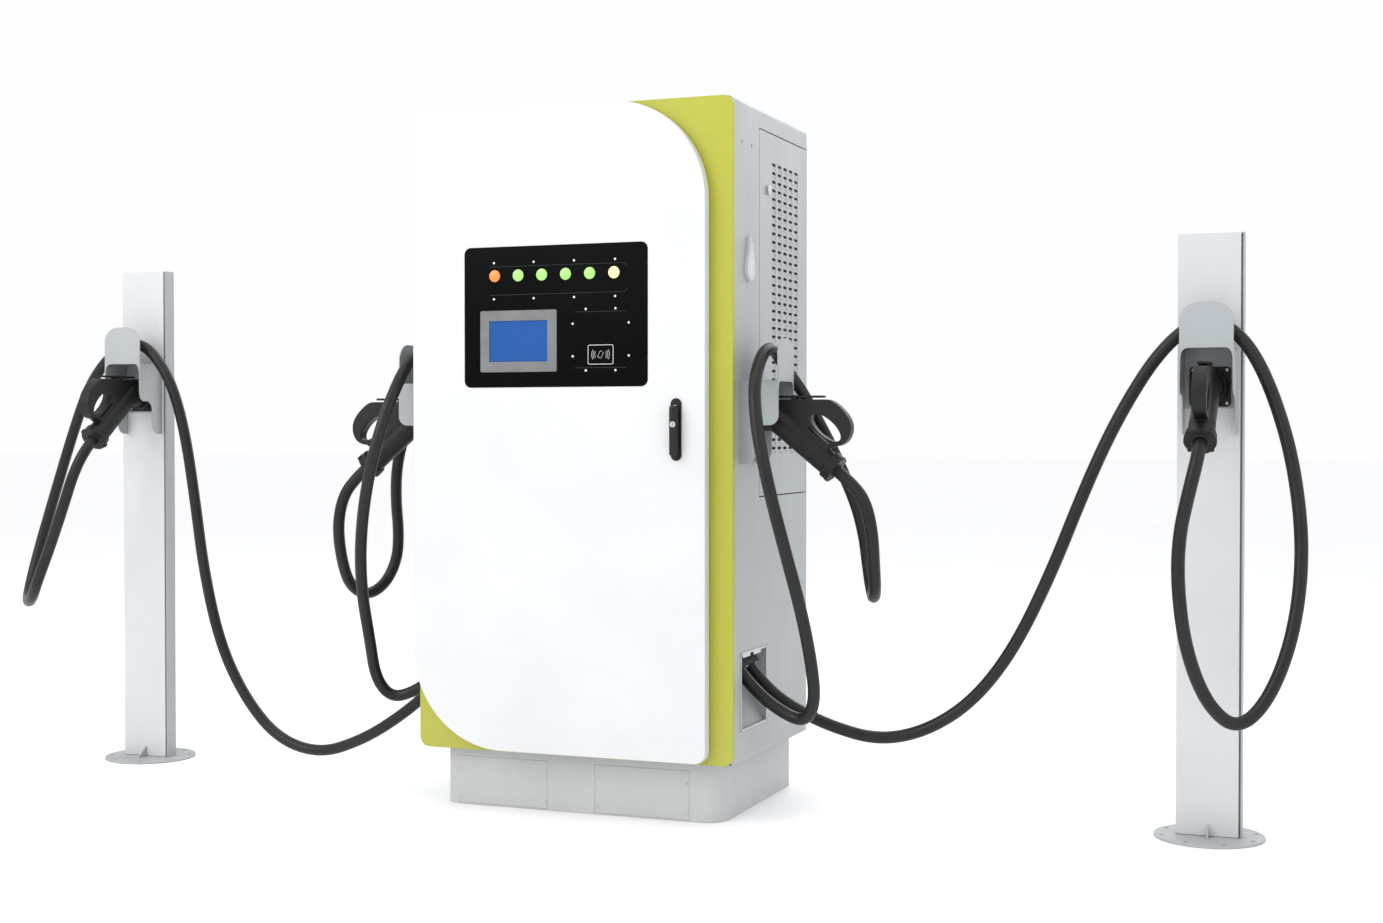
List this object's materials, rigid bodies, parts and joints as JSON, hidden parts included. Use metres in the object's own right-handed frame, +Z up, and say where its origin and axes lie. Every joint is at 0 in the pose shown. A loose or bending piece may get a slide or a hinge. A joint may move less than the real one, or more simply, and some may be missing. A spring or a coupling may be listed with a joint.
{
  "type": "electric vehicle charging station",
  "caption": "Charging cabinet with a hinged front door, holstered charging guns on its sides and on satellite posts, and their hanging cables.",
  "frame": {"origin": "centre of the cabinet's plinth, on the ground, at the centre of its anchor holes", "axes": "+X to the cabinet's right as seen from the front and along the row of posts, -Y out of the front door, +Z up"},
  "size_m": [3.7415, 0.7357, 1.85],
  "materials": {
    "plinth_grey": "satin powder coat",
    "bright_steel": "zinc plated",
    "light_grey_paint": "fine-textured powder coat",
    "white_paint": "satin powder coat",
    "lime_paint": "satin powder coat",
    "black_rubber": "matt",
    "galvanised_steel": "galvanised",
    "black_plastic": "fine texture",
    "dark_grey_metal": "matt",
    "grey_plastic": "matt",
    "smoked_glass": "high gloss",
    "lamp_plastic": "translucent",
    "screen_glass": "gloss",
    "filter_fleece": "open fleece",
    "light_grey_plastic": "satin"
  },
  "bodies": {
    "station": {"plinth_frame": "plinth_grey", "plinth_covers": "plinth_grey", "plinth_screws": "bright_steel", "body_shell": "light_grey_paint", "back_panel": "light_grey_paint", "fascia": "lime_paint", "door_seal": "black_rubber", "door_hinge_pins": "bright_steel", "service_door_pivots": "bright_steel", "cable_outlets": "light_grey_paint", "cable_clamps": "black_rubber", "clamp_plates": "galvanised_steel", "holster_right": "light_grey_paint", "holster_left": "light_grey_paint", "holster_post_right": "light_grey_paint", "holster_post_left": "light_grey_paint", "gun_sockets": "black_plastic", "post_column_right": "light_grey_paint", "post_cover_right": "white_paint", "post_base_right": "light_grey_paint", "post_column_left": "light_grey_paint", "post_cover_left": "white_paint", "post_base_left": "light_grey_paint", "equipment_rack": "galvanised_steel", "power_modules": "dark_grey_metal", "switchgear": "grey_plastic", "cable_right": "black_rubber", "cable_left": "black_rubber", "cable_post_right": "black_rubber", "cable_post_left": "black_rubber"},
    "front_door": {"front_door": "white_paint", "control_panel": "smoked_glass", "status_lamps": "lamp_plastic", "screen_bezel": "grey_plastic", "screen": "screen_glass", "card_reader": "black_plastic", "handle_base": "black_plastic"},
    "handle_hub": {"latch_cam": "bright_steel"},
    "handle_lever": {"handle_lever": "black_plastic"},
    "key_cylinder": {"key_cylinder": "bright_steel"},
    "service_door_right": {"service_door_right": "light_grey_paint", "air_filter_right": "filter_fleece"},
    "service_lock_right": {"service_lock_right": "bright_steel"},
    "lock_cover_right": {"lock_cover_right": "light_grey_plastic"},
    "service_door_left": {"service_door_left": "light_grey_paint", "air_filter_left": "filter_fleece"},
    "service_lock_left": {"service_lock_left": "bright_steel"},
    "lock_cover_left": {"lock_cover_left": "light_grey_plastic"},
    "gun_right": {"gun_right": "black_plastic", "cable_tail_right": "black_rubber"},
    "gun_latch_right": {"gun_latch_right": "black_plastic"},
    "gun_left": {"gun_left": "black_plastic", "cable_tail_left": "black_rubber"},
    "gun_latch_left": {"gun_latch_left": "black_plastic"},
    "gun_post_right": {"gun_post_right": "black_plastic", "cable_tail_post_right": "black_rubber"},
    "gun_latch_post_right": {"gun_latch_post_right": "black_plastic"},
    "gun_post_left": {"gun_post_left": "black_plastic", "cable_tail_post_left": "black_rubber"},
    "gun_latch_post_left": {"gun_latch_post_left": "black_plastic"}
  },
  "joints": [
    {"name": "front_door_hinge", "type": "hinge", "parent": "station", "child": "front_door", "pos_m": [-0.4425, -0.3335, 1], "axis": [0, 0, -1], "range_deg": [0, 90]},
    {"name": "handle_turn", "type": "hinge", "parent": "front_door", "child": "handle_hub", "pos_m": [0.3075, -0.358, 1.061], "axis": [0, -1, 0], "range_deg": [0, 90]},
    {"name": "handle_lift", "type": "hinge", "parent": "handle_hub", "child": "handle_lever", "pos_m": [0.3075, -0.376, 1.061], "axis": [-1, 0, 0], "range_deg": [0, 35]},
    {"name": "key_turn", "type": "hinge", "parent": "handle_lever", "child": "key_cylinder", "pos_m": [0.3075, -0.369, 1.021], "axis": [0, -1, 0], "range_deg": [0, 90]},
    {"name": "service_door_hinge_right", "type": "hinge", "parent": "station", "child": "service_door_right", "pos_m": [0.437, 0.297, 1.3], "axis": [0, 0, 1], "range_deg": [0, 110]},
    {"name": "service_lock_turn_right", "type": "hinge", "parent": "service_door_right", "child": "service_lock_right", "pos_m": [0.442, -0.04, 1.643], "axis": [1, 0, 0], "range_deg": [0, 90]},
    {"name": "lock_cover_swing_right", "type": "hinge", "parent": "station", "child": "lock_cover_right", "pos_m": [0.442, -0.195, 1.495], "axis": [-1, 0, 0], "range_deg": [0, 90]},
    {"name": "service_door_hinge_left", "type": "hinge", "parent": "station", "child": "service_door_left", "pos_m": [-0.437, 0.297, 1.3], "axis": [0, 0, -1], "range_deg": [0, 110]},
    {"name": "service_lock_turn_left", "type": "hinge", "parent": "service_door_left", "child": "service_lock_left", "pos_m": [-0.442, -0.04, 1.643], "axis": [1, 0, 0], "range_deg": [0, 90]},
    {"name": "lock_cover_swing_left", "type": "hinge", "parent": "station", "child": "lock_cover_left", "pos_m": [-0.442, -0.195, 1.495], "axis": [-1, 0, 0], "range_deg": [0, 90]},
    {"name": "gun_slide_right", "type": "slide", "parent": "station", "child": "gun_right", "axis": [1, 0, 0], "range_m": [0, 0.05]},
    {"name": "gun_latch_press_right", "type": "hinge", "parent": "gun_right", "child": "gun_latch_right", "pos_m": [0.572, -0.198, 1.09175], "axis": [0, 1, 0], "range_deg": [0, 3], "stiffness_Nm_per_rad": 3, "springref_deg": -5.73},
    {"name": "gun_slide_left", "type": "slide", "parent": "station", "child": "gun_left", "axis": [-1, 0, 0], "range_m": [0, 0.05]},
    {"name": "gun_latch_press_left", "type": "hinge", "parent": "gun_left", "child": "gun_latch_left", "pos_m": [-0.572, -0.198, 1.09175], "axis": [0, -1, 0], "range_deg": [0, 3], "stiffness_Nm_per_rad": 3, "springref_deg": -5.73},
    {"name": "gun_slide_post_right", "type": "slide", "parent": "station", "child": "gun_post_right", "axis": [0, -1, 0], "range_m": [0, 0.05]},
    {"name": "gun_latch_press_post_right", "type": "hinge", "parent": "gun_post_right", "child": "gun_latch_post_right", "pos_m": [1.58, -0.142, 1.16575], "axis": [1, 0, 0], "range_deg": [0, 3], "stiffness_Nm_per_rad": 3, "springref_deg": -5.73},
    {"name": "gun_slide_post_left", "type": "slide", "parent": "station", "child": "gun_post_left", "axis": [0, -1, 0], "range_m": [0, 0.05]},
    {"name": "gun_latch_press_post_left", "type": "hinge", "parent": "gun_post_left", "child": "gun_latch_post_left", "pos_m": [-1.58, -0.142, 1.16575], "axis": [1, 0, 0], "range_deg": [0, 3], "stiffness_Nm_per_rad": 3, "springref_deg": -5.73}
  ]
}
